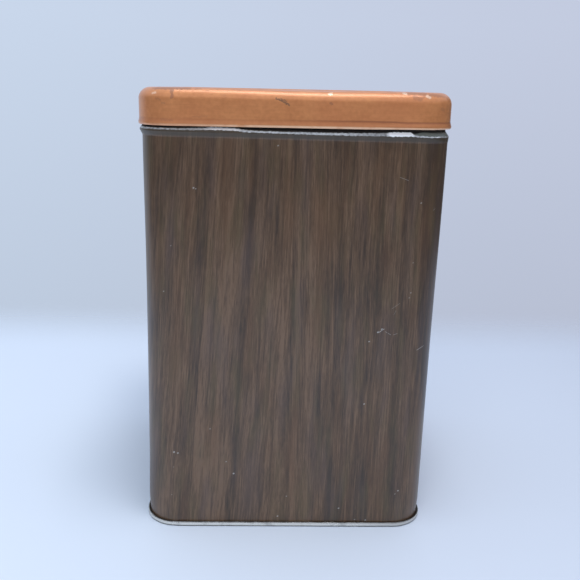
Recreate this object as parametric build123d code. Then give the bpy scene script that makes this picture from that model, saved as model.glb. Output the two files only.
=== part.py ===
from build123d import *
import os
from math import atan2, tan

# Square kitchen canister of tinplate: a folded body wall, a seamed-on base and a slip lid.
# Millimetres. +Z is up, -Y is the front, and the origin is the middle of the foot, z = 0.

# Driving dimensions
body_width = 127.0  # between opposite outer faces, both ways
body_corner_radius = 14.3  # vertical corners, outside
body_height = 193.45  # foot to the top of the mouth's curl
sheet = 0.30  # tinplate thickness of all three stampings
seam_gap = 0.08  # room between the folded layers of a seam

# Bottom double seam: five layers of sheet, rolled together round the foot
seam_height = 2.3
foot_bend = 0.5  # bend where the base turns round the foot
body_hook_tip = 1.8
base_hook_tip = 1.1
compound_width = 0.46
compound_height = 0.28
compound_gap = 0.02  # between the compound and the fold above it

# Base panel, standing up inside the foot
base_panel_height = 4.0
base_panel_bend = 1.0
base_step_depth = 0.8

# Side seam down the middle of the back, interlocked, thickness on the inside
side_seam_width = 5.0
side_seam_bottom = 5.5
side_seam_top = 173.4
side_seam_hook = 4.05  # length of each hook, from its fold's outer face to its tip
joggle_start = 3.1  # where the tucked-under end leaves the wall's face, from the seam's middle
joggle_end = 2.44

# Bead that the lid stops at, and the neck above it
bead_foot = 175.7
bead_crest = 177.9
bead_top = 180.1
bead_corner = 1.27  # the middle line's sharp corner at the crest, outside the body's face
bead_foot_bend = 1.2
bead_crest_bend = 0.6
bead_top_bend = 0.8
neck_inset = 0.3  # neck's outer face, inside the body's
mouth_curl_radius = 0.85

# Slip lid
lid_height = 14.8
lid_rim_height = 180.35  # lower edge above the foot, at the middle
lid_clearance = 1.55  # skirt's outer face, outside the body's
lid_flare = 0.5  # the rim stands this much further out
lid_flare_bottom = 1.1
lid_flare_top = 2.9
lid_flare_bend = 1.5
lid_shoulder_radius = 4.85
lid_curl_radius = 0.6
lid_recess_border = 7.0  # body face to the edge of the sunk panel
lid_recess_depth = 0.5
lid_cant = 0.45  # degrees; the lid sits a little higher at +X

# Where a stamped border ends and the flat panel inside it begins
panel_inset = 12.0
step_run = 1.0
step_bend = 1.0

half_width = body_width / 2
half_sheet = sheet / 2
layer = sheet + seam_gap
fold_radius = layer  # a fold that closes over one layer, at mid-sheet
straight = body_width - 2 * body_corner_radius


def sheet_section(points, radii):
    """Face of a bent sheet: `points` are the corners of its middle line, `radii` its bends there."""
    bends = []
    for before, corner, after, radius in zip(points, points[1:], points[2:], radii):
        corner = Vector(*corner)
        coming = (corner - Vector(*before)).normalized()
        going = (Vector(*after) - corner).normalized()
        turn = atan2(coming.cross(going).Z, coming.dot(going))
        side = 1 if turn > 0 else -1
        reach = radius * tan(abs(turn) / 2)
        centre = corner - coming * reach + coming.rotate(Axis.Z, 90) * side * radius
        bends.append((corner, coming, going, side, reach, radius, centre))

    def edge_of_sheet(offset):
        """One face of the sheet, `offset` to the left of the middle line."""
        first = Vector(*points[0])
        along = (Vector(*points[1]) - first).normalized()
        here = first + along.rotate(Axis.Z, 90) * offset
        edges = []
        for corner, coming, going, side, reach, radius, centre in bends:
            start = corner - coming * reach + coming.rotate(Axis.Z, 90) * offset
            end = corner + going * reach + going.rotate(Axis.Z, 90) * offset
            middle = centre + (corner - centre).normalized() * (radius - side * offset)
            if (start - here).length > 1e-5:
                edges.append(Edge.make_line(here, start))
            edges.append(Edge.make_three_point_arc(start, middle, end))
            here = end
        last = Vector(*points[-1])
        along = (last - Vector(*points[-2])).normalized()
        tip = last + along.rotate(Axis.Z, 90) * offset
        if (tip - here).length > 1e-5:
            edges.append(Edge.make_line(here, tip))
        return edges

    left = edge_of_sheet(half_sheet)
    right = edge_of_sheet(-half_sheet)
    caps = [
        Edge.make_line(left[0] @ 0, right[0] @ 0),
        Edge.make_line(left[-1] @ 1, right[-1] @ 1),
    ]
    return Face(Wire(left + right + caps))


def all_round(section):
    """Carry a section round the tin; it is drawn as (outward from the body's face, height)."""
    upright = Plane.XZ * Pos(half_width, 0) * section
    side = extrude(Pos(0, -straight / 2, 0) * upright, straight, dir=(0, 1, 0))
    corner_axis = Axis((straight / 2, straight / 2, 0), (0, 0, 1))
    corner = revolve(Pos(0, straight / 2, 0) * upright, corner_axis, 90)
    pieces = []
    for quarter in range(4):
        turned = Rot(0, 0, 90 * quarter)
        pieces += [turned * side, turned * corner]
    return pieces[0].fuse(*pieces[1:])


def flat_panel(height):
    """Flat rounded-square sheet, its middle at `height`, that fills the stamped border."""
    size = body_width - 2 * panel_inset
    outline = RectangleRounded(size, size, body_corner_radius - panel_inset)
    return extrude(Pos(0, 0, height - half_sheet) * outline, sheet)


def make_body_wall():
    # Plain wall, seen in plan: one sheet bent round the tin, its two ends hooked together
    wall = half_width - half_sheet
    bend = body_corner_radius - half_sheet
    seam_edge = side_seam_width / 2 - half_sheet
    plan = sheet_section(
        [
            (side_seam_hook - seam_edge, wall - 2 * layer),
            (-seam_edge, wall - 2 * layer),
            (-seam_edge, wall),
            (wall, wall),
            (wall, -wall),
            (-wall, -wall),
            (-wall, wall),
            (-joggle_start, wall),
            (-joggle_end, wall - 3 * layer),
            (seam_edge, wall - 3 * layer),
            (seam_edge, wall - layer),
            (seam_edge - side_seam_hook, wall - layer),
        ],
        [fold_radius] * 2 + [bend] * 4 + [fold_radius] * 4,
    )
    seam_length = side_seam_top - side_seam_bottom
    middle = extrude(Pos(0, 0, side_seam_bottom) * plan, seam_length, dir=(0, 0, 1))

    # Flange, folded up inside the base's seam
    fold_bottom = sheet + compound_height + compound_gap + half_sheet
    flange = all_round(
        sheet_section(
            [
                (-half_sheet, side_seam_bottom),
                (-half_sheet, fold_bottom),
                (2 * layer - half_sheet, fold_bottom),
                (2 * layer - half_sheet, body_hook_tip),
            ],
            [fold_radius] * 2,
        )
    )

    # Bead, neck and the mouth's edge, curled inwards
    neck = -neck_inset - half_sheet
    mouth = body_height - half_sheet
    curl = 2 * mouth_curl_radius
    top = all_round(
        sheet_section(
            [
                (-half_sheet, side_seam_top),
                (-half_sheet, bead_foot),
                (bead_corner, bead_crest),
                (neck, bead_top),
                (neck, mouth),
                (neck - curl, mouth),
                (neck - curl, mouth - curl),
                (neck - mouth_curl_radius, mouth - curl),
            ],
            [bead_foot_bend, bead_crest_bend, bead_top_bend] + [mouth_curl_radius] * 3,
        )
    )
    return middle.fuse(flange, top)


def make_base_end():
    hook = seam_gap + half_sheet
    seam_wall = hook + 2 * layer
    chuck_wall = -sheet - seam_gap - half_sheet
    border = all_round(
        sheet_section(
            [
                (hook, base_hook_tip),
                (hook, seam_height - half_sheet),
                (seam_wall, seam_height - half_sheet),
                (seam_wall, half_sheet),
                (chuck_wall, half_sheet),
                (chuck_wall, base_panel_height),
                (step_run - panel_inset / 2, base_panel_height),
                (-panel_inset / 2, base_panel_height - base_step_depth),
                (-panel_inset, base_panel_height - base_step_depth),
            ],
            [fold_radius] * 2 + [foot_bend] * 2 + [base_panel_bend] + [step_bend] * 2,
        )
    )
    return border.fuse(flat_panel(base_panel_height - base_step_depth))


def make_seam_compound():
    """Ring of sealing compound, rolled into the seam under the body's flange."""
    middle = seam_gap + half_sheet
    strip = Pos(middle, sheet + compound_height / 2) * Rectangle(compound_width, compound_height)
    return all_round(strip.face())


def make_lid():
    skirt = lid_clearance - half_sheet
    rim = skirt + lid_flare
    curl = 2 * lid_curl_radius
    top = lid_height - half_sheet
    shell = all_round(
        sheet_section(
            [
                (rim - lid_curl_radius, half_sheet + curl),
                (rim - curl, half_sheet + curl),
                (rim - curl, half_sheet),
                (rim, half_sheet),
                (rim, lid_flare_bottom),
                (skirt, lid_flare_top),
                (skirt, top),
                (step_run - lid_recess_border, top),
                (-lid_recess_border, top - lid_recess_depth),
                (-panel_inset, top - lid_recess_depth),
            ],
            [lid_curl_radius] * 3 + [lid_flare_bend] * 2 + [lid_shoulder_radius] + [step_bend] * 2,
        )
    ).fuse(flat_panel(top - lid_recess_depth))
    # It turns about its widest line, so that it stays centred over the body
    widest = half_sheet + lid_curl_radius
    return Pos(0, 0, lid_rim_height + widest) * Rot(0, -lid_cant, 0) * Pos(0, 0, -widest) * shell


os.makedirs("parts", exist_ok=True)
nodes = {
    "body_wall": make_body_wall(),
    "base_end": make_base_end(),
    "seam_compound": make_seam_compound(),
    "lid": make_lid(),
}
for name, part in nodes.items():
    export_step(part, f"parts/{name}.step")
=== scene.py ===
"""A square coffee tin in wood-grain tinplate with a copper-coloured slip lid, on a pale studio floor."""
import bmesh
import bpy
import math
from mathutils import Matrix, Vector, noise


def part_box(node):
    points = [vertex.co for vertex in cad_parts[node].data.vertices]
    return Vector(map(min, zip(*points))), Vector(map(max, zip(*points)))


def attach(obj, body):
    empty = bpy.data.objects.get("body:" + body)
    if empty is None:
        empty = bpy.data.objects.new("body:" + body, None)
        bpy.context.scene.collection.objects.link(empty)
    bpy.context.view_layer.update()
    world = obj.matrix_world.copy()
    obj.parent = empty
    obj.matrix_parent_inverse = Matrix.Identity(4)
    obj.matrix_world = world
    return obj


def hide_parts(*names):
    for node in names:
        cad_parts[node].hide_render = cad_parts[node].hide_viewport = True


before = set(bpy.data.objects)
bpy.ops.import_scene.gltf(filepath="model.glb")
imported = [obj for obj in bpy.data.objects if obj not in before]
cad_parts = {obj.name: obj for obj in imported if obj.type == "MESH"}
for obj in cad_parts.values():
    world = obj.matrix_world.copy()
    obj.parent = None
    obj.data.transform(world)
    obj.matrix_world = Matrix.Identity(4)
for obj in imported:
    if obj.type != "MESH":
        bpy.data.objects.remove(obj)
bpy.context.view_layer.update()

# Driving dimensions of the tin, in millimetres; its meshes become metres as they are made
MM = 0.001
BODY_WIDTH = 127.0
CORNER_RADIUS = 14.3
SHEET = 0.30
SEAM_GAP = 0.08
NECK_INSET = 0.3
MOUTH_CURL = 0.85
BEAD_FOOT = 175.7
BEAD_CREST = 177.9
BEAD_TOP = 180.1
BEAD_CORNER = 1.27
BEAD_BENDS = [1.2, 0.6, 0.8]  # at its foot, crest and top
SIDE_SEAM_WIDTH = 5.0
SIDE_SEAM_BOTTOM = 5.5
SIDE_SEAM_TOP = 173.4
FOOT_SEAM_HEIGHT = 2.3
FOOT_BEND = 0.5
BODY_HOOK_TIP = 1.8
BASE_HOOK_TIP = 1.1
COMPOUND_HEIGHT = 0.28
COMPOUND_GAP = 0.02
BASE_PANEL = 4.0
BASE_PANEL_BEND = 1.0
BASE_STEP = 0.8
LID_HEIGHT = 14.8
LID_RIM = 180.35
LID_CLEARANCE = 1.55
LID_FLARE = 0.5
LID_FLARE_BOTTOM = 1.1
LID_FLARE_TOP = 2.9
LID_FLARE_BEND = 1.5
LID_CURL = 0.6
LID_SHOULDER = 4.85
LID_RECESS = 0.5
LID_RECESS_BORDER = 7.0
LID_CANT = math.radians(0.45)
PANEL_INSET = 12.0
STEP_RUN = 1.0
STEP_BEND = 1.0

HALF = BODY_WIDTH / 2
HALF_SHEET = SHEET / 2
LAYER = SHEET + SEAM_GAP
STRAIGHT = BODY_WIDTH - 2 * CORNER_RADIUS
BODY_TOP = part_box("body_wall")[1].z / MM
SHARP_EDGE = math.radians(50)


# ------------------------------------------------------------------ sheet metal

def bent_sheet(points, radii, step=3.0, arc_step=15.0):
    """The two faces of a bent sheet in section, each a line of (outward, height) places.

    `points` are the corners of its middle line and `radii` its bends there, 0 where it goes straight
    on. Runs are divided every `step` mm and bends every `arc_step` degrees.
    """
    points = [Vector(p) for p in points]
    faces = []
    for offset in (HALF_SHEET, -HALF_SHEET):
        line = []

        def run_to(end):
            if line:
                start = line[-1]
                length = (end - start).length
                if length < 1e-4:
                    return
                parts = math.ceil(length / step)
                line.extend(start.lerp(end, k / parts) for k in range(1, parts))
            line.append(end)

        first = (points[1] - points[0]).normalized()
        run_to(points[0] + Vector((-first.y, first.x)) * offset)
        for before, corner, after, radius in zip(points, points[1:], points[2:], radii):
            coming = (corner - before).normalized()
            going = (after - corner).normalized()
            if radius == 0:
                run_to(corner + Vector((-coming.y, coming.x)) * offset)
                continue
            turn = math.atan2(coming.x * going.y - coming.y * going.x, coming.dot(going))
            side = 1 if turn > 0 else -1
            reach = radius * math.tan(abs(turn) / 2)
            centre = corner - coming * reach + Vector((-coming.y, coming.x)) * side * radius
            spoke = Vector((coming.y, -coming.x)) * side * (radius - side * offset)
            run_to(centre + spoke)
            parts = max(2, math.ceil(math.degrees(abs(turn)) / arc_step))
            for k in range(1, parts + 1):
                line.append(centre + Matrix.Rotation(turn * k / parts, 2) @ spoke)
        last = (points[-1] - points[-2]).normalized()
        run_to(points[-1] + Vector((-last.y, last.x)) * offset)
        faces.append(line)
    return faces


def way_round(spacing=2.0, corner_parts=18, at_the_back=()):
    """Stations round the body's outer face: middle of the back, -X side, front, +X side, back.

    Each is (place, outward, distance round the face, 0 at the middle of the front). Distances in
    `at_the_back` are extra stations, either side of the middle of the back.
    """
    edge = STRAIGHT / 2
    even = [k * spacing for k in range(math.ceil(edge / spacing))]
    clear = max(at_the_back, default=-spacing) + spacing / 4
    half_back = sorted(set(at_the_back) | {d for d in even if d > clear} | {0.0})
    places = [(Vector((-d, HALF)), Vector((0, 1))) for d in half_back]
    for quarter in range(4):
        start = math.pi / 2 * (quarter + 1)
        corner = Matrix.Rotation(math.pi / 2 * quarter, 2) @ Vector((-edge, edge))
        for k in range(corner_parts + 1):
            angle = start + math.pi / 2 * k / corner_parts
            outward = Vector((math.cos(angle), math.sin(angle)))
            places.append((corner + outward * CORNER_RADIUS, outward))
        if quarter < 3:
            place, outward = places[-1]
            ahead = Vector((-outward.y, outward.x))
            parts = math.ceil(STRAIGHT / spacing)
            places += [(place + ahead * STRAIGHT * k / parts, outward) for k in range(1, parts)]
    places += [(Vector((d, HALF)), Vector((0, 1))) for d in reversed(half_back[1:])]
    along = [0.0]
    for (before, _), (here, _) in zip(places, places[1:] + places[:1]):
        along.append(along[-1] + (here - before).length)
    girth = along[-1]
    return [(p, out, d - girth / 2) for (p, out), d in zip(places, along)], girth


PANEL_RINGS = 12


def swept_sheet(name, faces, path, shift, materials, closed_panel=False):
    """Mesh of a bent sheet carried round the path, as a closed solid.

    `faces` are the two lines of bent_sheet, in the order of `materials`. `shift(place, u, outward)`
    gives how far a point moves outwards and up. With `closed_panel` the sheet goes on from the end of
    its section to the middle of the tin.
    """
    stops, girth = path
    loop = [(p, 0) for p in faces[0]] + [(p, 1) for p in reversed(faces[1])]
    last = len(faces[0]) - 1
    work = bmesh.new()
    layer = work.loops.layers.uv.new("sheet")
    rows = []
    for place, outward, u in stops:
        row = []
        for p, _ in loop:
            out, up = shift(Vector((*(place + outward * p.x), p.y)), u, p.x)
            xy = place + outward * (p.x + out)
            row.append(work.verts.new(Vector((*xy, p.y + up)) * MM))
        rows.append(row)

    def add_face(corners, coordinates, side):
        face = work.faces.new(corners)
        face.material_index = side
        face.smooth = True
        for corner, uv in zip(face.loops, coordinates):
            corner[layer].uv = uv

    for i, row in enumerate(rows):
        j = (i + 1) % len(rows)
        u, u_next = stops[i][2], stops[j][2] if j else stops[0][2] + girth
        for a, (p, side) in enumerate(loop):
            b = (a + 1) % len(loop)
            if closed_panel and a == last:
                continue
            v, v_next = p.y, loop[b][0].y
            corners = (row[a], rows[j][a], rows[j][b], row[b])
            add_face(corners, ((u, v), (u_next, v), (u_next, v_next), (u, v_next)), side)
    if closed_panel:
        for a, side in ((last, 0), (last + 1, 1)):
            ring = [row[a] for row in rows]
            middle = sum((v.co for v in ring), Vector()) / len(ring)
            for r in range(1, PANEL_RINGS):
                inner = [work.verts.new(middle.lerp(row[a].co, 1 - r / PANEL_RINGS)) for row in rows]
                for i in range(len(ring)):
                    j = (i + 1) % len(ring)
                    corners = (ring[i], ring[j], inner[j], inner[i])
                    add_face(corners, [v.co.xy / MM for v in corners], side)
                ring = inner
            hub = work.verts.new(middle)
            for i in range(len(ring)):
                corners = (ring[i], ring[(i + 1) % len(ring)], hub)
                add_face(corners, [v.co.xy / MM for v in corners], side)
    bmesh.ops.recalc_face_normals(work, faces=work.faces)
    mesh = bpy.data.meshes.new(name)
    work.to_mesh(mesh)
    work.free()
    mesh.set_sharp_from_angle(angle=SHARP_EDGE)
    for material in materials:
        mesh.materials.append(material)
    piece = bpy.data.objects.new(name, mesh)
    bpy.context.scene.collection.objects.link(piece)
    return piece


def smooth(value, low, high):
    t = min(1.0, max(0.0, (value - low) / (high - low)))
    return t * t * (3 - 2 * t)


def waver(place, size, seed=0.0):
    """Smooth noise, -1 to 1, with features about `size` mm across."""
    return noise.noise(Vector(place) / size + Vector((seed, seed * 1.7, -seed)))


# Small faults of the body, in mm: how far each panel is drawn in, its ripples and the bead's, how the
# -X side stands, in at its waist and out at its top and foot, how the +X side leans out, most at its
# top, and the groove along the side seam
PANEL_DRAWN_IN = 0.28
RIPPLE_DEPTH, RIPPLE_SIZE = 0.07, 38
BEAD_RIPPLE_DEPTH, BEAD_RIPPLE_SIZE = 0.035, 7
WAIST_DEPTH, WAIST_HEIGHT, WAIST_SPREAD = 0.25, 100, 50
LEFT_TOP_LEAN, LEFT_FOOT_LEAN = 0.25, 0.35
RIGHT_LEAN, RIGHT_TOP_LEAN = 0.35, 0.65
SEAM_GROOVE_DEPTH = 0.5


def body_shift(place, u, outward):
    """The body's small faults, and the side seam down the back."""
    x, y, z = place
    panel = 1 - min(1.0, min(abs(x), abs(y)) / (STRAIGHT / 2)) ** 2
    height = smooth(z, 4, 50) * (1 - smooth(z, 120, BEAD_FOOT))
    out = -PANEL_DRAWN_IN * panel * height
    out += RIPPLE_DEPTH * waver(place, RIPPLE_SIZE) * smooth(z, 4, 20)
    if x < 0:
        lean = LEFT_TOP_LEAN * smooth(z, 120, 170) + LEFT_FOOT_LEAN * (1 - smooth(z, 8, 34))
        lean -= WAIST_DEPTH * math.exp(-((z - WAIST_HEIGHT) / WAIST_SPREAD) ** 2)
    else:
        lean = RIGHT_LEAN + RIGHT_TOP_LEAN * smooth(z, 70, 170)
    on_the_wall = smooth(z, 3, 9) * (1 - smooth(z, BEAD_FOOT, BEAD_CREST))
    out += lean * smooth(abs(x), 44, 62) * on_the_wall
    out += BEAD_RIPPLE_DEPTH * waver(place, BEAD_RIPPLE_SIZE, 3.1) * smooth(z, BEAD_FOOT, BEAD_CREST)
    if y > 0 and abs(x) < SIDE_SEAM_WIDTH:
        zone = smooth(z, SIDE_SEAM_BOTTOM - 0.6, SIDE_SEAM_BOTTOM + 0.4)
        zone *= 1 - smooth(z, SIDE_SEAM_TOP - 0.4, SIDE_SEAM_TOP + 0.6)
        if outward > -HALF_SHEET:
            groove = 1 - smooth(abs(x + SIDE_SEAM_WIDTH / 2 + 0.3), 0.12, 0.42)
            out -= SEAM_GROOVE_DEPTH * groove * zone
        else:
            fold = 1 - smooth(abs(x), SIDE_SEAM_WIDTH / 2 - 0.35, SIDE_SEAM_WIDTH / 2 + 0.15)
            out -= 3 * LAYER * fold * zone
    return out, 0.0


def make_body(materials):
    neck = -NECK_INSET - HALF_SHEET
    mouth = BODY_TOP - HALF_SHEET
    flange = SHEET + COMPOUND_HEIGHT + COMPOUND_GAP + HALF_SHEET
    curl = 2 * MOUTH_CURL
    faces = bent_sheet(
        [
            (2 * LAYER - HALF_SHEET, BODY_HOOK_TIP),
            (2 * LAYER - HALF_SHEET, flange),
            (-HALF_SHEET, flange),
            (-HALF_SHEET, SIDE_SEAM_BOTTOM),
            (-HALF_SHEET, SIDE_SEAM_TOP),
            (-HALF_SHEET, BEAD_FOOT),
            (BEAD_CORNER, BEAD_CREST),
            (neck, BEAD_TOP),
            (neck, mouth),
            (neck - curl, mouth),
            (neck - curl, mouth - curl),
            (neck - MOUTH_CURL, mouth - curl),
        ],
        [LAYER, LAYER, 0, 0] + BEAD_BENDS + [MOUTH_CURL] * 3,
    )
    seam_stations = (0.8, 1.6, 2.1, 2.3, 2.5, 2.65, 2.8, 2.95, 3.1, 3.3, 3.6)
    path = way_round(at_the_back=seam_stations)
    return swept_sheet("tin_body", faces[::-1], path, body_shift, materials)


# Dents in the rolled seam: (distance round the tin, half breadth, depth)
SEAM_DENTS = ((-50.5, 1.6, 0.16), (47.0, 2.2, 0.112))
SEAM_WAVER = 0.05


def base_shift(place, u, outward):
    """Small unevenness of the rolled seam, drawn inwards; the panel stays flat."""
    out = -SEAM_WAVER - SEAM_WAVER * waver(place, 9, 5.3)
    out -= sum(depth * math.exp(-((u - at) / half) ** 2) for at, half, depth in SEAM_DENTS)
    return out * smooth(outward, 0.2, 0.8), 0.0


def make_base(materials):
    hook = SEAM_GAP + HALF_SHEET
    seam_wall = hook + 2 * LAYER
    chuck_wall = -SHEET - SEAM_GAP - HALF_SHEET
    faces = bent_sheet(
        [
            (hook, BASE_HOOK_TIP),
            (hook, FOOT_SEAM_HEIGHT - HALF_SHEET),
            (seam_wall, FOOT_SEAM_HEIGHT - HALF_SHEET),
            (seam_wall, HALF_SHEET),
            (chuck_wall, HALF_SHEET),
            (chuck_wall, BASE_PANEL),
            (STEP_RUN - PANEL_INSET / 2, BASE_PANEL),
            (-PANEL_INSET / 2, BASE_PANEL - BASE_STEP),
            (-PANEL_INSET, BASE_PANEL - BASE_STEP),
        ],
        [LAYER] * 2 + [FOOT_BEND] * 2 + [BASE_PANEL_BEND] + [STEP_BEND] * 2,
        step=1.5,
    )
    return swept_sheet("tin_base", faces, way_round(), base_shift, materials, closed_panel=True)


# Knocks in the lid's front: (x, height above the rim, size, depth)
LID_KNOCKS = ((-5.5, 9.4, 2.6, 0.10), (13.4, 9.0, 1.2, 0.07), (48.5, 11.4, 3.2, 0.16))
LID_ROOM = 0.04  # inwards and down, so that the faults stay inside the CAD's lid
LID_WAVER = 0.04
RIM_DRAWN_IN = 0.25
RIM_LIFTED = 0.22
FRONT_SAG = 0.32


def lid_shift(place, u, outward):
    """The lid's small faults: a waver, knocks and a sag at the front, and a rim drawn in, or up at +X."""
    x, y, z = place
    out = -LID_ROOM - LID_WAVER * waver(place, 26, 1.9)
    out -= RIM_DRAWN_IN * smooth(outward, 1.3, 1.8) * (1 - smooth(x, 35, 62))
    if y < 0:
        for knock_x, knock_z, size, depth in LID_KNOCKS:
            out -= depth * math.exp(-(((x - knock_x) / size) ** 2 + ((z - knock_z) / size) ** 2))
    sag = FRONT_SAG * math.exp(-(((x - 5) / 24) ** 2)) * smooth(-y, 40, 58) * smooth(z, 9, 14)
    lift = RIM_LIFTED * smooth(x, 25, 45) * (1 - smooth(z, 1.0, 5.0))
    return out, lift - LID_ROOM - sag


def make_lid(materials):
    skirt = LID_CLEARANCE - HALF_SHEET
    rim = skirt + LID_FLARE
    curl = 2 * LID_CURL
    top = LID_HEIGHT - HALF_SHEET
    faces = bent_sheet(
        [
            (rim - LID_CURL, HALF_SHEET + curl),
            (rim - curl, HALF_SHEET + curl),
            (rim - curl, HALF_SHEET),
            (rim, HALF_SHEET),
            (rim, LID_FLARE_BOTTOM),
            (skirt, LID_FLARE_TOP),
            (skirt, top),
            (STEP_RUN - LID_RECESS_BORDER, top),
            (-LID_RECESS_BORDER, top - LID_RECESS),
            (-PANEL_INSET, top - LID_RECESS),
        ],
        [LID_CURL] * 3 + [LID_FLARE_BEND] * 2 + [LID_SHOULDER] + [STEP_BEND] * 2,
        step=1.0,
        arc_step=7.5,
    )
    lid = swept_sheet("tin_lid", faces[::-1], way_round(), lid_shift, materials, closed_panel=True)
    widest = HALF_SHEET + LID_CURL
    seat = Matrix.Translation((0, 0, (LID_RIM + widest) * MM)) @ Matrix.Rotation(-LID_CANT, 4, "Y")
    lid.data.transform(seat @ Matrix.Translation((0, 0, -widest * MM)))
    return lid


# ------------------------------------------------------------------ materials

def add_node(tree, kind, inputs=None, **settings):
    """New node, each of its inputs given as a value or as the output that feeds it."""
    node = tree.nodes.new(kind)
    for key, value in settings.items():
        setattr(node, key, value)
    for socket, value in (inputs or {}).items():
        if isinstance(value, bpy.types.NodeSocket):
            tree.links.new(value, node.inputs[socket])
        else:
            node.inputs[socket].default_value = value
    return node


def blend(tree, factor, a, b):
    """Colour from a to b, each a colour or an output."""
    ends = {socket: (*end, 1.0) if isinstance(end, tuple) else end for socket, end in ((6, a), (7, b))}
    return add_node(tree, "ShaderNodeMix", {0: factor, **ends}, data_type="RGBA").outputs[2]


def change(tree, value, low, high, start=0.0, end=1.0, curve="SMOOTHSTEP"):
    """`start` up to `low`, `end` from `high` on, and a change from one to the other between them."""
    ends = {"Value": value, "From Min": low, "From Max": high, "To Min": start, "To Max": end}
    return add_node(tree, "ShaderNodeMapRange", ends, interpolation_type=curve).outputs[0]


class Shader:
    """A material with one principled shader, and short names for the nodes that feed it.

    x, y, z are the place on the piece and u, v the distance round the tin and the height, in mm; on
    the closed panels u, v are x and y.
    """

    def __init__(self, name, **constants):
        self.material = bpy.data.materials.new(name)
        self.material.use_nodes = True
        self.tree = self.material.node_tree
        self.tree.nodes.clear()
        self.surface = self.add("ShaderNodeBsdfPrincipled")
        output = self.add("ShaderNodeOutputMaterial")
        self.tree.links.new(self.surface.outputs["BSDF"], output.inputs["Surface"])
        for socket, value in constants.items():
            self.surface.inputs[socket.replace("_", " ")].default_value = value
        sheet = self.add("ShaderNodeUVMap", uv_map="sheet").outputs[0]
        self.u, self.v = self.add("ShaderNodeSeparateXYZ", {0: sheet}).outputs[:2]
        self.place = self.scaled(self.add("ShaderNodeTexCoord").outputs["Object"], 1 / MM)
        split = self.add("ShaderNodeSeparateXYZ", {0: self.place})
        self.x, self.y, self.z = split.outputs[:3]

    def add(self, kind, inputs=None, **settings):
        return add_node(self.tree, kind, inputs, **settings)

    def scaled(self, vector, factor):
        return self.add("ShaderNodeVectorMath", {0: vector, "Scale": factor}, operation="SCALE").outputs[0]

    def math(self, operation, a, b=0.0, c=0.0, clamp=False):
        node = self.add("ShaderNodeMath", {0: a, 1: b, 2: c}, operation=operation, use_clamp=clamp)
        return node.outputs[0]

    def total(self, *values):
        result = values[0]
        for value in values[1:]:
            result = self.math("ADD", result, value)
        return result

    def times(self, a, b):
        return self.math("MULTIPLY", a, b)

    def most(self, *values):
        result = values[0]
        for value in values[1:]:
            result = self.math("MAXIMUM", result, value)
        return result

    def vector(self, x=0.0, y=0.0, z=0.0):
        return self.add("ShaderNodeCombineXYZ", {0: x, 1: y, 2: z}).outputs[0]

    def noise(self, where, detail=2.0, roughness=0.5):
        """Noise about 0, roughly -1 to 1."""
        inputs = {"Vector": where, "Scale": 1.0, "Detail": detail, "Roughness": roughness}
        raw = self.add("ShaderNodeTexNoise", inputs)
        return self.math("MULTIPLY_ADD", raw.outputs[0], 4.0, -2.0)

    def blotches(self, size, detail=3.0, seed=0.0):
        """Noise over the piece, with features about `size` mm across."""
        inputs = {0: self.scaled(self.place, 1 / size), 1: (seed, -seed, seed * 2)}
        moved = self.add("ShaderNodeVectorMath", inputs, operation="ADD").outputs[0]
        return self.noise(moved, detail)

    def grain(self, across, along, wide, tall, seed=0.0, detail=2.0):
        """Streaks about `wide` mm across and `tall` mm long."""
        where = self.vector(self.math("DIVIDE", across, wide), self.math("DIVIDE", along, tall), seed)
        return self.noise(where, detail)

    def step(self, value, low, high):
        """0 below `low`, 1 above `high`; the other way round when low is the larger."""
        ends = (0.0, 1.0) if low < high else (1.0, 0.0)
        return change(self.tree, value, min(low, high), max(low, high), *ends)

    def band(self, value, middle, half, soft):
        off = self.math("ABSOLUTE", self.math("SUBTRACT", value, middle))
        return self.step(off, half + soft, half)

    def ramp(self, factor, stops):
        """Value or colour at `factor`, between (position, value or colour) stops."""
        node = self.add("ShaderNodeValToRGB", {0: factor})
        elements = node.color_ramp.elements
        elements.remove(elements[1])
        elements[0].position = stops[0][0]
        for position, _ in stops[1:]:
            elements.new(position)
        for element, (_, colour) in zip(elements, stops):
            element.color = (*colour, 1.0) if isinstance(colour, tuple) else (colour, colour, colour, 1.0)
        return node.outputs[0]

    def mix(self, factor, a, b):
        return blend(self.tree, factor, a, b)

    def stroke(self, across, up, start, end, width):
        """1 on a stroke from `start` to `end`, fading at its edge."""
        run = Vector(end) - Vector(start)
        inputs = {0: self.vector(across, up), 1: (*start, 0)}
        here = self.add("ShaderNodeVectorMath", inputs, operation="SUBTRACT").outputs[0]
        inputs = {0: here, 1: (*run, 0)}
        onto = self.add("ShaderNodeVectorMath", inputs, operation="DOT_PRODUCT").outputs["Value"]
        share = self.math("DIVIDE", onto, run.length_squared, clamp=True)
        inputs = {0: here, 1: self.scaled((*run, 0), share)}
        off = self.add("ShaderNodeVectorMath", inputs, operation="DISTANCE").outputs["Value"]
        return self.step(off, width / 2, width / 5)

    def strokes(self, across, up, places):
        """The strongest of several strokes, each (start, end, width, strength)."""
        result = 0.0
        for start, end, width, strength in places:
            drawn = self.times(self.stroke(across, up, start, end, width), strength)
            result = self.math("MAXIMUM", result, drawn)
        return result

    def bump(self, height, strength, distance):
        inputs = {"Height": height, "Strength": strength, "Distance": distance * MM}
        node = self.add("ShaderNodeBump", inputs)
        self.tree.links.new(node.outputs[0], self.surface.inputs["Normal"])

    def feed(self, **values):
        for socket, value in values.items():
            self.tree.links.new(value, self.surface.inputs[socket.replace("_", " ")])


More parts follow.
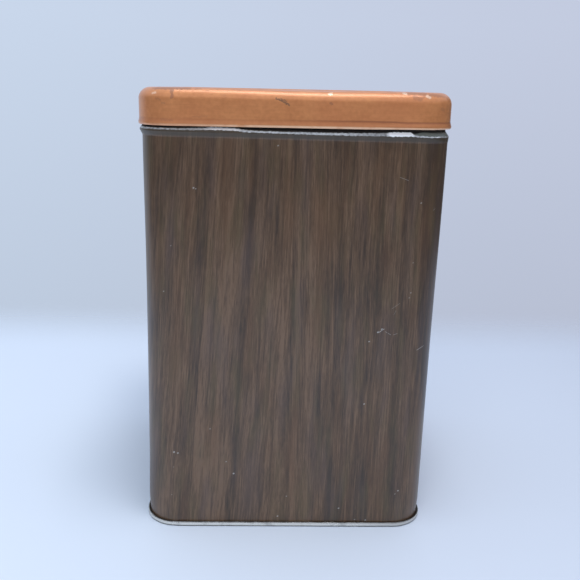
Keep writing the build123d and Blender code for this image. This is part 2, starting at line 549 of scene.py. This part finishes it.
# Tones of the printed grain, from dark 0 to light 1, at places in mm across one face, level with
# GRAIN_LEVEL: the left half of the board, which leans outwards as it goes down, and the right half
LEFT_TONES = (
    (-60, 0.45), (-56, 0.40), (-53, 0.50), (-50, 0.44), (-46, 0.60), (-43.5, 0.53), (-41, 0.58),
    (-39.5, 0.40), (-36, 0.32), (-34.4, 0.44), (-33.4, 0.78), (-31, 0.75), (-29.2, 0.60), (-27.8, 0.62),
    (-25.5, 0.78), (-23, 0.68), (-21, 0.62), (-18.9, 0.50), (-17.7, 0.12), (-16.7, 0.14), (-15.5, 0.52),
    (-12.5, 0.58), (-10, 0.50), (-8, 0.60), (-6.6, 0.42), (-5.4, 0.72), (-4.2, 0.42), (-2.8, 0.84),
    (-1.5, 0.60), (-0.4, 0.32),
)
RIGHT_TONES = (
    (0.4, 0.34), (1.5, 0.62), (2.8, 0.86), (4.2, 0.58), (6, 0.60), (7.8, 0.78), (9.5, 0.72), (11.5, 0.60),
    (14, 0.42), (16, 0.50), (18, 0.45), (19.3, 0.20), (20.4, 0.20), (21.8, 0.43), (24.2, 0.36),
    (26.6, 0.65), (28.6, 0.44), (31.2, 0.44), (32.6, 0.28), (34.4, 0.44), (35.8, 0.22), (37.5, 0.33),
    (40, 0.52), (42.5, 0.58), (44.8, 0.50), (46.4, 0.18), (47.4, 0.20), (49.4, 0.44), (52, 0.56),
    (55, 0.45), (60, 0.45),
)
GRAIN_LEVEL = 160.0
GRAIN_LEAN = 10.0
GRAIN_LEAN_HEIGHT = 144.0
GRAIN_LEAN_REACH = 17.0
PRINT_REPEAT = 120.6
GRAIN_COLOURS = (
    (0.0, (0.042, 0.0275, 0.0185)),
    (0.35, (0.079, 0.047, 0.0275)),
    (0.65, (0.113, 0.067, 0.038)),
    (1.0, (0.165, 0.099, 0.058)),
)
OLIVE_BROWN = (0.084, 0.067, 0.029)
PLUM_BROWN = (0.084, 0.058, 0.052)
RUST_BROWN = (0.122, 0.060, 0.028)
CHIPPED_TIN = (0.52, 0.50, 0.46)
FLANK_SHADE = (0.048, 0.036, 0.021)
RUBBED_GREY = (0.115, 0.125, 0.105)
NECK_TIN = (0.50, 0.49, 0.45)
UNDER_RIM_SHADE = (0.012, 0.008, 0.005)
WORN_DULL = (0.10, 0.095, 0.085)
WORN_TIN_SHEEN = (0.92, 0.93, 0.92)

# Chips in the print, placed in mm round the tin from the middle of the front, and in height:
# (round, height, size, strength) and (start, end, width, strength)
PRINT_SPECKS = (
    (-41.6, 155.2, 0.95, 1.0), (-40.6, 154.9, 0.6, 0.6), (-54.6, 111.0, 0.7, 0.6), (-51.0, 131.0, 0.6, 0.4),
    (-50.8, 36.7, 1.0, 1.0), (-49.0, 36.3, 0.8, 0.9), (-51.0, 29.3, 0.5, 0.4), (-24.0, 26.3, 0.9, 0.9),
    (-27.4, 32.2, 0.7, 0.5), (-34.6, 48.2, 0.7, 0.5), (-3.6, 4.8, 0.9, 0.9), (-52.0, 15.4, 0.5, 0.4),
    (24.5, 9.0, 0.8, 0.8), (32.2, 3.2, 0.7, 0.6), (37.2, 2.9, 0.8, 0.9), (33.6, 61.0, 0.8, 0.8),
    (51.5, 18.2, 0.8, 0.8), (50.2, 16.6, 0.6, 0.5), (-7.4, 173.1, 0.7, 0.6), (0.2, 15.0, 0.6, 0.6),
    (52.4, 151.2, 0.7, 0.6), (50.8, 112.6, 0.6, 0.6), (50.3, 110.4, 0.6, 0.5), (50.9, 125.8, 0.6, 0.4),
    (34.2, 90.3, 0.8, 0.7), (37.8, 94.6, 0.9, 0.9), (39.4, 96.0, 0.9, 0.9),
)
PRINT_SCRATCHES = (
    ((38.2, 94.6), (40.4, 96.2), 0.42, 0.9),
    ((41.0, 95.0), (43.4, 93.6), 0.26, 0.6),
    ((44.6, 93.6), (46.2, 94.2), 0.24, 0.5),
    ((55.6, 86.4), (59.4, 87.8), 0.34, 0.8),
    ((43.0, 161.6), (46.6, 160.4), 0.24, 0.5),
    ((43.2, 105.4), (46.4, 107.8), 0.20, 0.4),
    ((44.2, 102.8), (45.0, 104.6), 0.18, 0.4),
    ((58.4, 148.0), (59.4, 148.6), 0.26, 0.6),
)

# The bead's worn band across the front, BEAD_SPAN wide, as (mm from its middle, amount): how far above
# the crest the band's middle is in mm, half its breadth in mm, and how bright the bared tin is painted, its
# sheen included
BEAD_SPAN = 132.0
BEAD_WEAR = (
    (
        (-66, 0.72), (-48, 0.78), (-40, 1.0), (-34, 1.38), (-25, 1.25), (-21, 0.72), (-14, 0.52), (0, 0.44),
        (24, 0.50), (36, 0.80), (46, 1.08), (48, 0.45), (54, 0.12), (66, 0.12),
    ),
    (
        (-66, 0.26), (-46, 0.28), (-34, 0.50), (-24, 0.44), (-18, 0.32), (0, 0.38), (20, 0.52), (36, 0.60),
        (39, 0.84), (46, 0.78), (48, 0.28), (54, 0.18), (66, 0.18),
    ),
    (
        (-66, 0.32), (-46, 0.36), (-37, 0.52), (-33, 1.25), (-25, 1.10), (-21, 0.52), (0, 0.44), (20, 0.44),
        (36, 0.22), (38, 1.25), (46, 1.25), (48, 0.36), (54, 0.66), (57, 1.0), (60, 0.50), (66, 0.40),
    ),
)


def wood_print():
    """Printed walnut grain under satin varnish, worn to bright tin along the bead."""
    s = Shader("wood_grain_print", Specular_IOR_Level=0.56)
    down = s.math("DIVIDE", s.math("SUBTRACT", GRAIN_LEVEL, s.v), GRAIN_LEAN_HEIGHT)
    outwards = s.math("EXPONENT", s.math("DIVIDE", s.math("MINIMUM", s.u, 0.0), GRAIN_LEAN_REACH))
    lean = s.times(s.times(s.math("SUBTRACT", outwards, 1.0), GRAIN_LEAN), down)
    wander = s.times(s.grain(s.u, s.v, 9, 60, 2.0, 2.0), 0.45)
    across = s.total(s.math("SUBTRACT", s.u, lean), wander)

    turns = s.math("FRACT", s.math("ADD", s.math("DIVIDE", across, PRINT_REPEAT), 0.5))
    left, right = (
        s.ramp(turns, [(mm / PRINT_REPEAT + 0.5, tone) for mm, tone in tones])
        for tones in (LEFT_TONES, RIGHT_TONES)
    )
    tone = s.mix(s.math("GREATER_THAN", turns, 0.5), left, right)

    # Nested arches down the middle, as a flat-sawn board has
    side = s.math("SUBTRACT", across, 1.0)
    reach = s.math("SQRT", s.math("MULTIPLY_ADD", side, side, 1.2))
    rings = s.math("ADD", reach, s.math("DIVIDE", s.v, 22.0))
    rings = s.total(rings, s.times(s.grain(s.u, s.v, 5, 30, 4.0), 0.3))
    arches = s.math("SINE", s.times(rings, 5.2))
    heart = s.times(s.band(side, 0.0, 3.0, 5.0), s.band(s.v, 108.0, 25.0, 40.0))
    arches = s.times(arches, s.times(heart, 0.10))

    streaks = s.times(s.grain(across, s.v, 1.7, 40, 11.0), 0.32)
    fine = s.times(s.grain(across, s.v, 0.66, 17, 17.0, 3.0), 0.42)
    hair = s.times(s.grain(across, s.v, 0.34, 4.2, 23.0, 3.0), 0.26)
    patches = s.times(s.grain(across, s.v, 18, 46, 29.0), 0.22)
    # painted reflection: lighter through the middle height, where the varnish reflects the pale floor
    floor_reflection_tone = s.times(s.band(s.v, 84.0, 30.0, 50.0), 0.05)
    tone = s.total(tone, arches, streaks, fine, hair, patches, floor_reflection_tone)

    # Pores: short dark dashes
    pores = s.step(s.grain(across, s.v, 0.30, 3.4, 31.0, 1.0), 0.55, 1.0)
    tone = s.math("SUBTRACT", tone, s.times(pores, 0.22))

    # Darker brown down the +X corner, which narrows away below
    below = s.math("DIVIDE", s.math("MAXIMUM", s.math("SUBTRACT", 130.0, s.v), 0.0), 23.0)
    edge = s.math("MULTIPLY_ADD", below, below, 52.6)
    edge = s.step(s.math("SUBTRACT", s.u, edge), -0.4, 1.8)
    edge = s.times(edge, s.step(s.u, 84.0, 72.0))
    tone = s.math("SUBTRACT", tone, s.times(edge, 0.42), clamp=True)
    colour = s.ramp(tone, GRAIN_COLOURS)
    olive = s.step(s.grain(across, s.v, 5, 30, 37.0), -0.2, 1.0)
    colour = s.mix(s.times(olive, 0.40), colour, OLIVE_BROWN)
    hue = s.grain(across, s.v, 8, 55, 53.0)
    colour = s.mix(s.times(s.step(hue, -0.1, 1.1), 0.48), colour, PLUM_BROWN)
    # redder towards the top: painted shade in place of the weaker reflection there, over the print's
    # rust-brown hue
    rust_and_top_shade = s.math("ADD", s.times(s.step(hue, 0.2, -1.0), 0.40), s.times(s.step(s.v, 100.0, 165.0), 0.14))
    colour = s.mix(rust_and_top_shade, colour, RUST_BROWN)

    # Specks and scratches where the print is chipped
    specks = [((x - 0.1, z), (x + 0.1, z + 0.1), *rest) for x, z, *rest in PRINT_SPECKS]
    chips = s.strokes(s.u, s.v, specks)
    chips = s.math("MAXIMUM", chips, s.strokes(s.u, s.v, PRINT_SCRATCHES))
    chips = s.times(chips, s.step(s.blotches(0.6, 2.0, 3.0), -0.9, -0.1))
    colour = s.mix(s.times(chips, 0.75), colour, CHIPPED_TIN)

    # The bead: painted shade on its lower face, its rubbed upper face towards +X, the neck, and painted
    # shade above the worn band, where the lid's rim shades it
    # painted shade: the bead's lower face, which tilts downwards, darkened
    flank_shade = s.times(s.step(s.v, BEAD_FOOT, BEAD_FOOT + 0.8), 0.75)
    colour = s.mix(flank_shade, colour, FLANK_SHADE)
    rubbed = s.times(s.step(s.v, BEAD_CREST, BEAD_CREST + 0.3), s.step(s.u, 20.0, 50.0))
    colour = s.mix(rubbed, colour, RUBBED_GREY)
    uneven = s.math("MULTIPLY_ADD", s.grain(s.u, s.v, 0.8, 6, 47.0), 0.5, s.v)
    neck = s.step(uneven, BEAD_TOP + 0.3, BEAD_TOP + 1.3)
    colour = s.mix(neck, colour, NECK_TIN)
    turn = s.math("DIVIDE", s.math("ADD", s.u, BEAD_SPAN / 2), BEAD_SPAN, clamp=True)
    level, half, bright = (
        s.ramp(turn, [(mm / BEAD_SPAN + 0.5, amount) for mm, amount in amounts]) for amounts in BEAD_WEAR
    )
    above = s.math("SUBTRACT", s.v, s.math("ADD", level, BEAD_CREST))
    hidden = s.math("SUBTRACT", above, s.times(s.step(s.u, 46.0, 52.0), 1.3))
    # painted shade: the bead above the worn band darkened where the lid's rim shades it
    rim_shadow = s.times(s.step(hidden, 0.25, 0.75), s.step(s.v, BEAD_TOP + 1.6, BEAD_TOP + 0.9))
    colour = s.mix(rim_shadow, colour, UNDER_RIM_SHADE)

    # The band that the lid has worn to bare tin, with a ragged edge; its brightness is wear and a painted
    # sheen together
    ragged = s.times(s.grain(s.u, s.v, 1.2, 0.7, 41.0, 3.0), 0.22)
    ragged = s.total(ragged, s.times(s.grain(s.u, s.v, 6, 3, 43.0), 0.08))
    off = s.math("ADD", s.math("SUBTRACT", s.math("ABSOLUTE", above), half), ragged)
    worn = s.step(off, 0.14, -0.14)
    shine = s.math("ADD", bright, s.times(s.blotches(1.1, 3.0, 8.0), 0.22))
    colour = s.mix(worn, colour, s.mix(shine, WORN_DULL, WORN_TIN_SHEEN))
    bare_neck = s.times(s.math("SUBTRACT", neck, rim_shadow), 0.7)
    metal = s.most(s.times(worn, 0.35), s.times(chips, 0.5), bare_neck)

    rough = s.math("MULTIPLY_ADD", s.blotches(28, 3.0, 1.0), 0.035, 0.33)
    rough = s.total(rough, s.times(hair, 0.12), s.times(metal, -0.04), s.times(rim_shadow, 0.4))
    s.feed(Base_Color=colour, Metallic=metal, Roughness=rough)
    ribs = s.times(s.grain(s.u, s.v, 0.75, 45, 17.0), 0.25)
    s.bump(s.math("ADD", ribs, s.times(s.blotches(0.9, 2.0, 6.0), 0.12)), 0.35, 0.05)
    return s.material


TIN_CLEAN = (0.66, 0.65, 0.62)
TIN_STAINED = (0.47, 0.45, 0.41)
TIN_FLAKE = (0.72, 0.72, 0.72)


def plain_tin(name):
    """Bare tinplate: rolled, crystalline, dulled in places."""
    s = Shader(name, Metallic=0.6, Specular_IOR_Level=0.5)
    stain = s.step(s.blotches(22, 4.0, 2.0), -0.2, 1.0)
    spangle = s.add("ShaderNodeTexVoronoi", {"Vector": s.place, "Scale": 0.22})
    flake = s.add("ShaderNodeSeparateColor", {0: spangle.outputs["Color"]}).outputs[0]
    colour = s.mix(s.times(stain, 0.7), TIN_CLEAN, TIN_STAINED)
    colour = s.mix(s.times(flake, 0.12), colour, TIN_FLAKE)
    where = s.vector(s.math("DIVIDE", s.x, 30.0), s.math("DIVIDE", s.y, 0.5), s.math("DIVIDE", s.z, 0.5))
    rolled = s.noise(where, 3.0)
    rough = s.math("MULTIPLY_ADD", stain, 0.16, 0.27)
    rough = s.total(rough, s.times(rolled, 0.03), s.times(flake, 0.03))
    s.feed(Base_Color=colour, Roughness=rough)
    s.bump(s.total(s.times(rolled, 0.25), s.times(s.blotches(1.4, 3.0, 4.0), 0.5)), 0.25, 0.04)
    return s.material


FOOT_BRIGHT = (0.88, 0.85, 0.78)
FOOT_DULL = (0.36, 0.355, 0.34)
FOOT_UNDERSIDE_SHADE = (0.07, 0.07, 0.065)
FOOT_CREVICE_SHADE = (0.075, 0.070, 0.062)
FOOT_NICK = (0.15, 0.14, 0.13)


def foot_tin():
    """The rolled seam's bright tin, stained and nicked along its edge, with painted shade below, in the
    crevice above it and towards both ends.
    """
    s = Shader("foot_tinplate", Metallic=1.0, Specular_IOR_Level=0.5)
    # painted shade: the seam's underside darkened where it meets the floor
    underside_shade = s.step(s.z, 0.95, 0.35)
    # painted shade in the crevice between the wall and the seam's top
    crevice_shade = s.step(s.total(s.z, s.times(s.blotches(4, 3.0, 6.0), 0.08)), 2.00, 2.28)
    stain = s.step(s.blotches(5, 4.0, 2.0), -0.1, 1.1)
    # darker towards both ends: painted shade standing in for the dimmer reflections there, added to the
    # stains
    right, left = s.times(s.step(s.x, 20.0, 62.0), 0.85), s.times(s.step(s.x, -42.0, -60.0), 0.4)
    stain = s.most(stain, right, left)
    colour = s.mix(s.times(stain, 0.6), FOOT_BRIGHT, FOOT_DULL)
    colour = s.mix(s.times(underside_shade, 0.88), colour, FOOT_UNDERSIDE_SHADE)
    colour = s.mix(crevice_shade, colour, FOOT_CREVICE_SHADE)
    nick = s.step(s.blotches(1.3, 3.0, 12.0), 0.85, 1.25)
    colour = s.mix(s.times(nick, 0.7), colour, FOOT_NICK)
    rough = s.total(s.math("MULTIPLY_ADD", stain, 0.14, 0.24), s.times(underside_shade, 0.1))
    s.feed(Base_Color=colour, Roughness=rough)
    s.bump(s.total(s.times(s.blotches(1.1, 3.0, 4.0), 0.6), s.times(nick, -0.6)), 0.35, 0.06)
    return s.material


# Marks on the lid's front, in mm from its middle and above its rim: (start, end, width, strength)
LID_SMEARS = (
    ((-49.9, 14.2), (-49.7, 11.2), 1.9, 0.85),
    ((-58.0, 14.4), (-43.0, 14.4), 1.5, 0.85),
    ((-56.0, 10.6), (-54.6, 9.8), 1.3, 0.35),
    ((-53.6, 8.9), (-52.8, 8.5), 1.0, 0.35),
    ((-41.5, 3.6), (-36.0, 3.9), 1.0, 0.22),
    ((-54.0, 2.4), (-49.5, 2.0), 1.4, 0.30),
    ((-30.5, 12.4), (-29.0, 12.0), 1.2, 0.20),
    ((44.0, 14.3), (51.5, 14.1), 1.5, 0.70),
    ((46.6, 12.8), (49.2, 12.2), 2.2, 0.60),
    ((49.8, 12.6), (51.0, 13.4), 1.2, 0.45),
    ((13.1, 9.9), (13.5, 9.5), 1.3, 0.60),
    ((58.6, 8.6), (59.6, 8.0), 1.8, 0.30),
    ((-40.5, 14.5), (-38.6, 14.3), 0.9, 0.45),
    ((-36.4, 13.6), (-35.2, 13.9), 0.8, 0.30),
    ((-33.5, 14.6), (-31.8, 14.5), 0.7, 0.40),
    ((-24.0, 13.9), (-22.6, 14.0), 0.7, 0.25),
    ((53.0, 13.9), (60.0, 13.6), 1.9, 0.75),
)
LID_SCRATCHES = (
    ((-8.6, 11.4), (-6.4, 10.4), 0.9, 0.8),
    ((-6.4, 10.6), (-3.4, 8.7), 0.8, 0.8),
    ((-6.7, 11.5), (-6.1, 10.6), 0.6, 0.8),
    ((-5.6, 10.8), (-4.6, 10.2), 0.7, 0.6),
)
# Painted highlights on the lid's front: bright spots and a highlight at its left corner
LID_GLINTS = (
    ((12.4, 13.4), (13.6, 13.5), 1.3, 0.9),
    ((51.8, 13.2), (52.9, 13.0), 1.7, 0.9),
    ((42.4, 14.2), (43.4, 14.1), 1.2, 1.0),
    ((-57.6, 12.4), (-56.4, 12.6), 1.2, 0.7),
)


COPPER_DARK = (0.550, 0.196, 0.063)
COPPER_LIGHT = (0.712, 0.283, 0.098)
COPPER_WARM = (0.625, 0.210, 0.078)
CREASE_DIRT_AND_SHADE = (0.24, 0.075, 0.036)
CREASE_SHADE = (0.40, 0.135, 0.050)
SMEAR_BROWN = (0.26, 0.095, 0.040)
SCRATCH_BROWN = (0.13, 0.07, 0.035)
RUBBED_COPPER_AND_GLINT = (0.92, 0.66, 0.46)
SPECK_BROWN = (0.22, 0.09, 0.05)
LIP_WEAR_AND_HIGHLIGHT = (1.0, 0.66, 0.42)


def copper_lacquer():
    """Copper-coloured lacquer on tinplate: mottled, rubbed at the shoulder, with knocks and smears, painted
    glints, a painted highlight along the rim and painted shade at the crease.
    """
    s = Shader("copper_lacquer", Coat_Weight=0.55, Coat_Roughness=0.30, Specular_IOR_Level=0.5)
    height = s.math("SUBTRACT", s.z, s.math("MULTIPLY_ADD", s.x, math.tan(LID_CANT), LID_RIM))
    front = s.step(s.y, -HALF + 8, -HALF + 2)
    where = s.vector(s.math("DIVIDE", s.x, 11.0), s.math("DIVIDE", s.y, 11.0), s.math("DIVIDE", s.z, 0.9))
    drawn = s.times(s.noise(where, 3.0), 0.25)
    coarse, close = s.times(s.blotches(9, 4.0, 1.0), 0.40), s.times(s.blotches(1.7, 4.0, 5.0), 0.45)
    mottle = s.total(coarse, close, drawn)
    colour = s.mix(s.step(mottle, -0.9, 0.9), COPPER_DARK, COPPER_LIGHT)
    warm = s.step(s.blotches(34, 2.0, 9.0), -0.6, 0.8)
    colour = s.mix(s.times(warm, 0.35), colour, COPPER_WARM)

    # Dirt and painted shade along the crease above the rim, stronger towards +X, and painted shade over the
    # flare below it
    crease_dirt_and_shade = s.total(height, s.times(s.grain(s.x, s.z, 12, 6, 3.0), 0.18))
    crease_dirt_and_shade = s.band(crease_dirt_and_shade, LID_FLARE_TOP, 0.10, 0.55)
    crease_dirt_and_shade = s.times(crease_dirt_and_shade, s.math("MULTIPLY_ADD", s.step(s.x, -20.0, 35.0), 0.50, 0.08))
    colour = s.mix(crease_dirt_and_shade, colour, CREASE_DIRT_AND_SHADE)
    colour = s.mix(s.times(s.band(height, 1.9, 0.5, 0.8), 0.40), colour, CREASE_SHADE)

    jitter = s.times(s.blotches(1.1, 3.0, 15.0), 0.35)
    across = s.total(s.x, jitter)
    up = s.total(height, jitter)
    smear = s.times(s.strokes(across, up, LID_SMEARS), front)
    colour = s.mix(s.times(smear, 0.85), colour, SMEAR_BROWN)
    scratch = s.times(s.strokes(across, up, LID_SCRATCHES), front)
    colour = s.mix(scratch, colour, SCRATCH_BROWN)
    # painted glints, and shoulder spots rubbed bare of lacquer
    glint = s.times(s.strokes(across, up, LID_GLINTS), front)
    rubbed = s.times(s.step(s.blotches(2.4, 4.0, 21.0), 0.75, 1.3), s.step(height, 11.0, 13.5))
    colour = s.mix(s.most(s.times(glint, 0.7), s.times(rubbed, 0.35)), colour, RUBBED_COPPER_AND_GLINT)
    speck = s.step(s.blotches(0.8, 2.0, 33.0), 1.0, 1.3)
    colour = s.mix(s.times(speck, 0.45), colour, SPECK_BROWN)
    # painted highlight along the bottom of the rim, where the curl would catch the floor's light, over wear
    # to bare metal there
    lip_wear_and_highlight = s.times(s.step(height, 1.15, 0.55), s.step(s.blotches(5.0, 3.0, 27.0), -1.6, 0.3))
    lip_wear_and_highlight = s.times(lip_wear_and_highlight, s.math("MULTIPLY_ADD", s.step(s.x, -60.0, 0.0), 0.5, 0.25))
    colour = s.mix(lip_wear_and_highlight, colour, LIP_WEAR_AND_HIGHLIGHT)

    rough = s.math("MULTIPLY_ADD", mottle, 0.05, 0.40)
    rough = s.total(rough, s.times(smear, 0.15), s.times(scratch, 0.15), s.times(glint, -0.12))
    metal = s.math("SUBTRACT", 0.30, s.times(s.most(smear, scratch), 0.28))
    s.feed(Base_Color=colour, Roughness=rough, Metallic=metal)
    relief = s.total(s.times(s.blotches(0.7, 3.0, 7.0), 0.25), s.times(s.blotches(3.0, 2.0, 7.5), 0.6))
    s.bump(relief, 0.3, 0.05)
    return s.material


COMPOUND_DARK = (0.24, 0.23, 0.21)
COMPOUND_LIGHT = (0.33, 0.32, 0.29)


def lining_compound():
    """Matt grey sealing compound."""
    s = Shader("lining_compound", Roughness=0.8)
    s.feed(Base_Color=s.mix(s.step(s.blotches(1.5), -0.8, 0.8), COMPOUND_DARK, COMPOUND_LIGHT))
    s.bump(s.blotches(0.6), 0.3, 0.03)
    return s.material


# ------------------------------------------------------------------ studio

# Camera, as fitted to the photograph: metres, and degrees of turn, downward tilt and roll
CAMERA_PLACE = (-0.01458, -0.37316, 0.19585)
CAMERA_LENS = 46.9
CAMERA_TURN = -2.532
CAMERA_TILT = 14.98
CAMERA_ROLL = 1.695

SKY_LEFT = (0.570, 0.665, 0.815)
SKY_RIGHT = (0.530, 0.580, 0.720)
# The floor is darker towards +X: a painted fall-off of the light
FLOOR_LEFT = (0.815, 0.89, 0.98)
FLOOR_RIGHT_SHADE = (0.62, 0.655, 0.73)
FLOOR_RADIUS = 1.6
FLOOR_FADE = (0.17, 0.30)  # metres behind the tin's middle, where the floor fades out

# Lamps, in metres and watts: (name, place, size, power, the only kind of light it gives)
LAMPS = (
    ("softbox_above", (0.05, -0.14, 0.80), (0.15, 0.22), 1.9, "visible_diffuse"),
    ("softbox_front", (-0.10, -0.95, 0.95), (0.8, 0.5), 3.8, "visible_diffuse"),
    ("shoulder_strip", (0.03, -0.02, 0.80), (0.15, 0.34), 1.3, "visible_glossy"),
)
LAMP_COLOUR = (0.96, 0.98, 1.0)
LAMP_AIM = Vector((0.0, 0.0, 0.1))

# Dark screen, in metres, and where it starts and ends round the tin, from the front towards +X
SCREEN_RADIUS = 0.56
SCREEN_REACH = (math.radians(-100), math.radians(140))
SCREEN_HEIGHTS = (0.002, 0.40)
SCREEN_PARTS = 40
SCREEN_GLOW = (0.10, 0.085, 0.075)


def make_camera():
    camera = bpy.data.objects.new("camera", bpy.data.cameras.new("camera"))
    camera.data.lens = CAMERA_LENS
    camera.data.clip_start = 0.01
    turn = Matrix.Rotation(math.radians(CAMERA_TURN), 4, "Z")
    tip = Matrix.Rotation(math.radians(90 - CAMERA_TILT), 4, "X")
    roll = Matrix.Rotation(math.radians(CAMERA_ROLL), 4, "Z")
    camera.matrix_world = Matrix.Translation(CAMERA_PLACE) @ turn @ tip @ roll
    bpy.context.scene.collection.objects.link(camera)
    bpy.context.scene.camera = camera


def make_floor():
    """Pale round floor, painted darker towards +X as a fall-off of the light, that fades into the sky
    colour behind the tin.
    """
    mesh = bpy.data.meshes.new("floor")
    work = bmesh.new()
    bmesh.ops.create_circle(work, cap_ends=True, radius=FLOOR_RADIUS, segments=96)
    work.to_mesh(mesh)
    work.free()
    floor = bpy.data.objects.new("floor", mesh)
    bpy.context.scene.collection.objects.link(floor)
    material = bpy.data.materials.new("pale_floor")
    material.use_nodes = True
    tree = material.node_tree
    surface = tree.nodes["Principled BSDF"]
    surface.inputs["Roughness"].default_value = 0.7
    place = add_node(tree, "ShaderNodeTexCoord").outputs["Object"]
    x, y = add_node(tree, "ShaderNodeSeparateXYZ", {0: place}).outputs[:2]
    colour = blend(tree, change(tree, x, -0.35, 0.45), FLOOR_LEFT, FLOOR_RIGHT_SHADE)
    tree.links.new(colour, surface.inputs["Base Color"])
    tree.links.new(change(tree, y, *FLOOR_FADE, 1.0, 0.0), surface.inputs["Alpha"])
    mesh.materials.append(material)


def make_sky():
    """Pale sky, bluer to the left and a little darker below the horizon."""
    world = bpy.data.worlds.new("studio")
    bpy.context.scene.world = world
    world.use_nodes = True
    tree = world.node_tree
    towards = add_node(tree, "ShaderNodeTexCoord").outputs["Generated"]
    x, _, z = add_node(tree, "ShaderNodeSeparateXYZ", {0: towards}).outputs[:3]
    background = tree.nodes["Background"]
    sky = blend(tree, change(tree, x, -0.45, 0.45), SKY_LEFT, SKY_RIGHT)
    tree.links.new(sky, background.inputs["Color"])
    tree.links.new(change(tree, z, -0.30, 0.08, 0.90, 1.03, "LINEAR"), background.inputs["Strength"])


def make_lights():
    """Two soft lamps that light the surfaces, and one that only shows as the lid's highlight."""
    for name, place, size, power, seen in LAMPS:
        light = bpy.data.lights.new(name, "AREA")
        light.shape = "RECTANGLE"
        light.size, light.size_y = size
        light.energy = power
        light.color = LAMP_COLOUR
        lamp = bpy.data.objects.new(name, light)
        lamp.location = place
        lamp.rotation_euler = (Vector(place) - LAMP_AIM).to_track_quat("Z", "Y").to_euler()
        for kind in ("visible_diffuse", "visible_glossy"):
            setattr(lamp, kind, kind == seen)
        bpy.context.scene.collection.objects.link(lamp)


def make_screen():
    """Dark screen round the front, which nothing but the gloss sees: the varnish reflects it."""
    mesh = bpy.data.meshes.new("dark_screen")
    work = bmesh.new()
    rows = []
    start, end = SCREEN_REACH
    for k in range(SCREEN_PARTS + 1):
        angle = start + (end - start) * k / SCREEN_PARTS
        foot = Vector((math.sin(angle), -math.cos(angle), 0)) * SCREEN_RADIUS
        rows.append([work.verts.new(foot + Vector((0, 0, height))) for height in SCREEN_HEIGHTS])
    for before, here in zip(rows, rows[1:]):
        work.faces.new((before[0], here[0], here[1], before[1]))
    work.to_mesh(mesh)
    work.free()
    screen = bpy.data.objects.new("dark_screen", mesh)
    screen.visible_camera = False
    screen.visible_diffuse = False
    screen.visible_shadow = False
    material = bpy.data.materials.new("dark_screen")
    material.use_nodes = True
    surface = material.node_tree.nodes["Principled BSDF"]
    surface.inputs["Base Color"].default_value = (0.0, 0.0, 0.0, 1.0)
    surface.inputs["Specular IOR Level"].default_value = 0.0
    surface.inputs["Emission Color"].default_value = (*SCREEN_GLOW, 1.0)
    surface.inputs["Emission Strength"].default_value = 1.0
    mesh.materials.append(material)
    bpy.context.scene.collection.objects.link(screen)


# ------------------------------------------------------------------ the tin

bpy.context.scene.view_settings.view_transform = "Standard"
make_camera()
make_floor()
make_sky()
make_lights()
make_screen()

inside = plain_tin("inside_tinplate")

body = make_body([wood_print(), inside])
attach(body, "canister")
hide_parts("body_wall")

base = make_base([foot_tin(), inside])
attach(base, "canister")
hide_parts("base_end")

lid = make_lid([copper_lacquer(), inside])
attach(lid, "lid")
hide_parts("lid")

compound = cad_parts["seam_compound"]
compound.data.materials.clear()
compound.data.materials.append(lining_compound())
